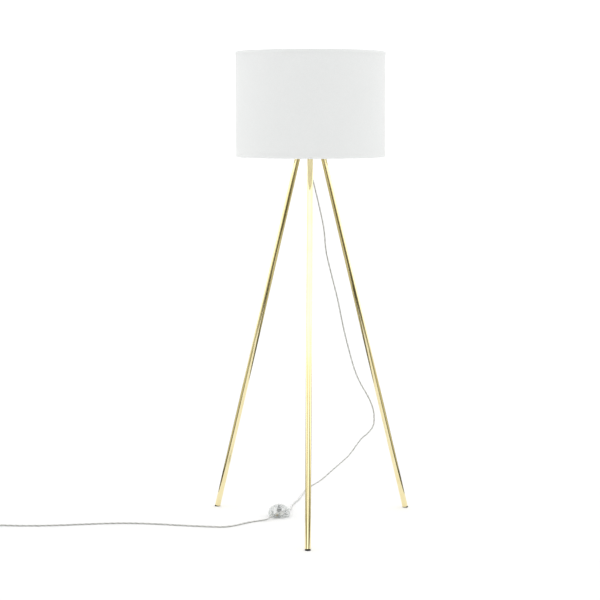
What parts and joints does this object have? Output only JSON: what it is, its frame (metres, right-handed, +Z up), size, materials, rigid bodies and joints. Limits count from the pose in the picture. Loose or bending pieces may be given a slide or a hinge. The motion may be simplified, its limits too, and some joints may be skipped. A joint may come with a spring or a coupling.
{
  "type": "tripod floor lamp",
  "caption": "Tripod floor lamp with slim tube legs, a round drum shade on an E27 lampholder, and a clear cord with a foot switch and plug.",
  "frame": {"origin": "floor level, at the centre of the box round the stand and shade; the lamp's vertical axis is 68 mm behind it, at Y = +0.068", "axes": "+Z up along the lamp's axis; the front leg runs towards -Y; +X to the right as the lamp is seen from the front"},
  "size_m": [1.4042, 0.7772, 1.4961],
  "materials": {
    "gold_plate": "polished pale gold plating",
    "zinc_steel": "zinc-plated steel",
    "bare_brass": "bare brass",
    "black_rubber": "matt black rubber",
    "dark_plastic": "moulded dark grey plastic",
    "white_plastic": "moulded white plastic",
    "ceramic": "glazed ceramic",
    "shade_fabric": "fine off-white woven fabric",
    "shade_liner": "white translucent shade film",
    "white_wire": "white powder-coated steel wire",
    "clear_cord": "clear PVC over two tinned cores",
    "clear_plastic": "clear moulded plastic",
    "opal": "opal plastic",
    "core_brown": "brown core insulation",
    "core_blue": "blue core insulation",
    "led_board": "white printed board"
  },
  "bodies": {
    "stand": {"leg_tube_front": "gold_plate", "leg_insert_front": "zinc_steel", "leg_stud_front": "zinc_steel", "foot_cap_front": "black_rubber", "leg_tube_right": "gold_plate", "leg_insert_right": "zinc_steel", "leg_stud_right": "zinc_steel", "foot_cap_right": "black_rubber", "leg_tube_left": "gold_plate", "leg_insert_left": "zinc_steel", "leg_stud_left": "zinc_steel", "foot_cap_left": "black_rubber", "hub_body": "gold_plate", "hub_nipple": "bare_brass", "hub_washer": "zinc_steel", "hub_locknut": "zinc_steel", "cord_grip": "white_plastic", "cord_relief": "clear_plastic", "core_live": "core_brown", "core_neutral": "core_blue", "lampholder_cap": "white_plastic", "lampholder_body": "white_plastic", "lampholder_insert": "ceramic", "screw_shell": "bare_brass", "centre_contact": "bare_brass", "switch_pad": "clear_plastic", "switch_base": "clear_plastic", "switch_cover": "clear_plastic", "switch_module": "white_plastic", "switch_spring": "zinc_steel", "switch_grommet_in": "clear_plastic", "switch_lead_in": "clear_cord", "switch_terminal_in": "bare_brass", "switch_grommet_out": "clear_plastic", "switch_lead_out": "clear_cord", "switch_terminal_out": "bare_brass", "switch_screw_1": "zinc_steel", "switch_screw_2": "zinc_steel", "switch_screw_3": "zinc_steel", "cord_upper": "clear_cord", "cord_lower": "clear_cord", "cord_coil": "clear_cord", "cord_tie": "black_rubber", "plug_body": "clear_plastic", "plug_relief": "clear_plastic", "plug_pin_live": "bare_brass", "plug_pin_neutral": "bare_brass"},
    "shade": {"shade_fabric": "shade_fabric", "shade_liner": "shade_liner", "shade_hoop_top": "white_wire", "shade_frame_lower": "white_wire"},
    "ring_nut": {"shade_ring_nut": "white_plastic"},
    "bulb": {"bulb_tip_contact": "bare_brass", "bulb_cap": "zinc_steel", "bulb_housing": "white_plastic", "bulb_led_board": "led_board", "bulb_diffuser": "opal"},
    "foot_button": {"switch_button": "clear_plastic", "switch_plunger": "dark_plastic"}
  },
  "joints": [
    {"name": "shade_turn", "type": "hinge", "parent": "stand", "child": "shade", "pos_m": [0, 0.068, 1.24], "axis": [0, 0, 1], "continuous": true},
    {"name": "ring_nut_turn", "type": "hinge", "parent": "stand", "child": "ring_nut", "pos_m": [0, 0.068, 1.248], "axis": [0, 0, 1], "range_deg": [0, 360]},
    {"name": "bulb_unscrew", "type": "slide", "parent": "stand", "child": "bulb", "axis": [0, 0, 1], "range_m": [0, 0.027]},
    {"name": "button_press", "type": "slide", "parent": "stand", "child": "foot_button", "axis": [0, 0, -1], "range_m": [0, 0.003], "stiffness_N_per_m": 3000, "springref_m": -0.002, "deforming": ["switch_spring"]}
  ]
}
